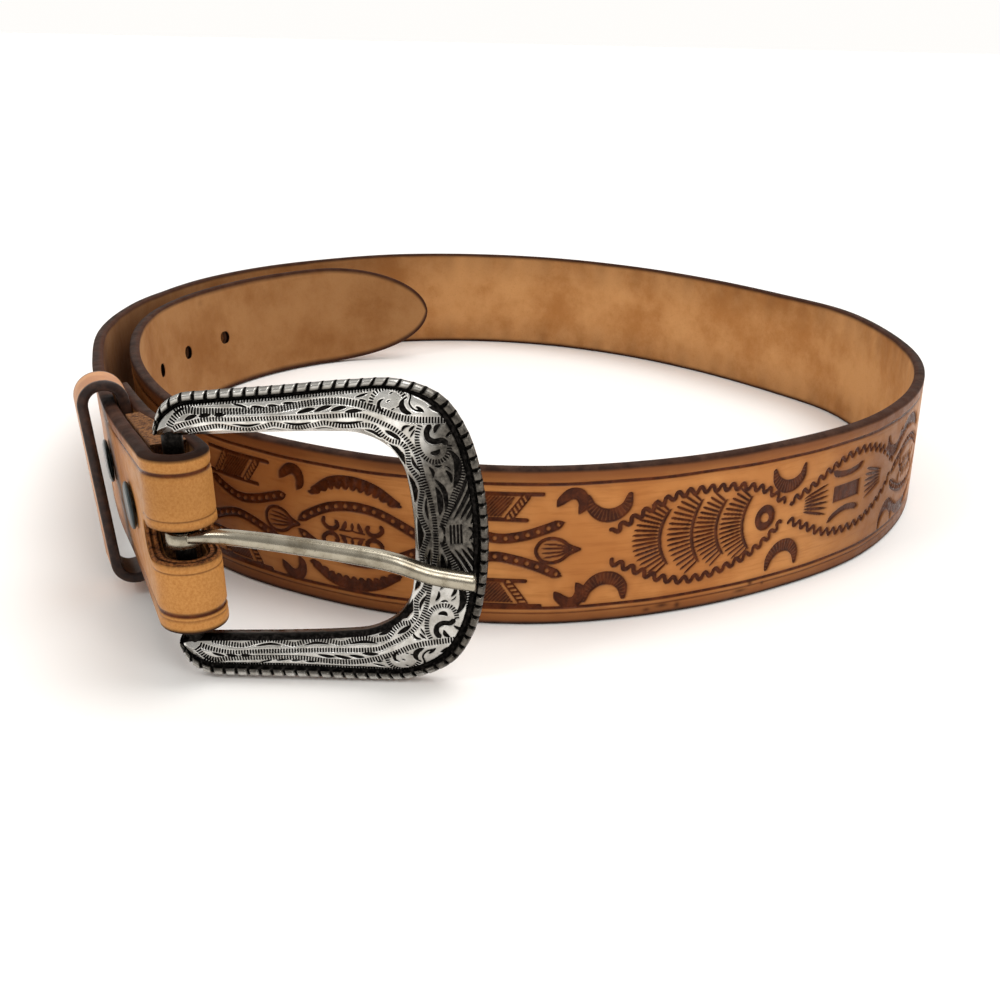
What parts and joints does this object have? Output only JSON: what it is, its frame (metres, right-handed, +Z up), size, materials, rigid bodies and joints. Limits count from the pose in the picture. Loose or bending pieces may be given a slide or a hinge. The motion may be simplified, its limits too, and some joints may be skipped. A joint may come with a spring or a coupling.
{
  "type": "western tooled leather belt",
  "caption": "Western leather belt standing on its edge in an open loop: tooled strap folded round a rounded engraved buckle, with a keeper, snaps and a plain punched billet.",
  "frame": {"origin": "middle of the bounding box, on the surface that the belt stands on", "axes": "+Z up across the strap's width, +X to the right and +Y to the back as seen from the buckle's side"},
  "size_m": [0.2566, 0.3222, 0.0653],
  "materials": {
    "tooled_leather": "satin, warm tan with dark brown stamping and burnished dark edges",
    "raw_leather": "rough fibrous cut edge",
    "keeper_leather": "satin tan grain with a dark brown edge",
    "antique_silver": "polished high spots over a blackened engraved ground",
    "bright_nickel": "polished",
    "dark_enamel": "semi-gloss blue-black"
  },
  "bodies": {
    "belt": {"strap": "tooled_leather", "fold_filler": "raw_leather", "keeper": "keeper_leather", "snap_front": "dark_enamel", "snap_rear": "dark_enamel"},
    "buckle": {"buckle_frame": "antique_silver"},
    "tongue": {"tongue": "bright_nickel"}
  },
  "joints": [
    {"name": "buckle_swing", "type": "hinge", "parent": "belt", "child": "buckle", "pos_m": [-0.06416, -0.15367, 0.03097], "axis": [0.0471, 0, -0.9989], "range_deg": [-15, 60]},
    {"name": "tongue_swing", "type": "hinge", "parent": "buckle", "child": "tongue", "pos_m": [-0.06416, -0.15367, 0.03097], "axis": [0.0471, 0, -0.9989], "range_deg": [0, 65]}
  ]
}
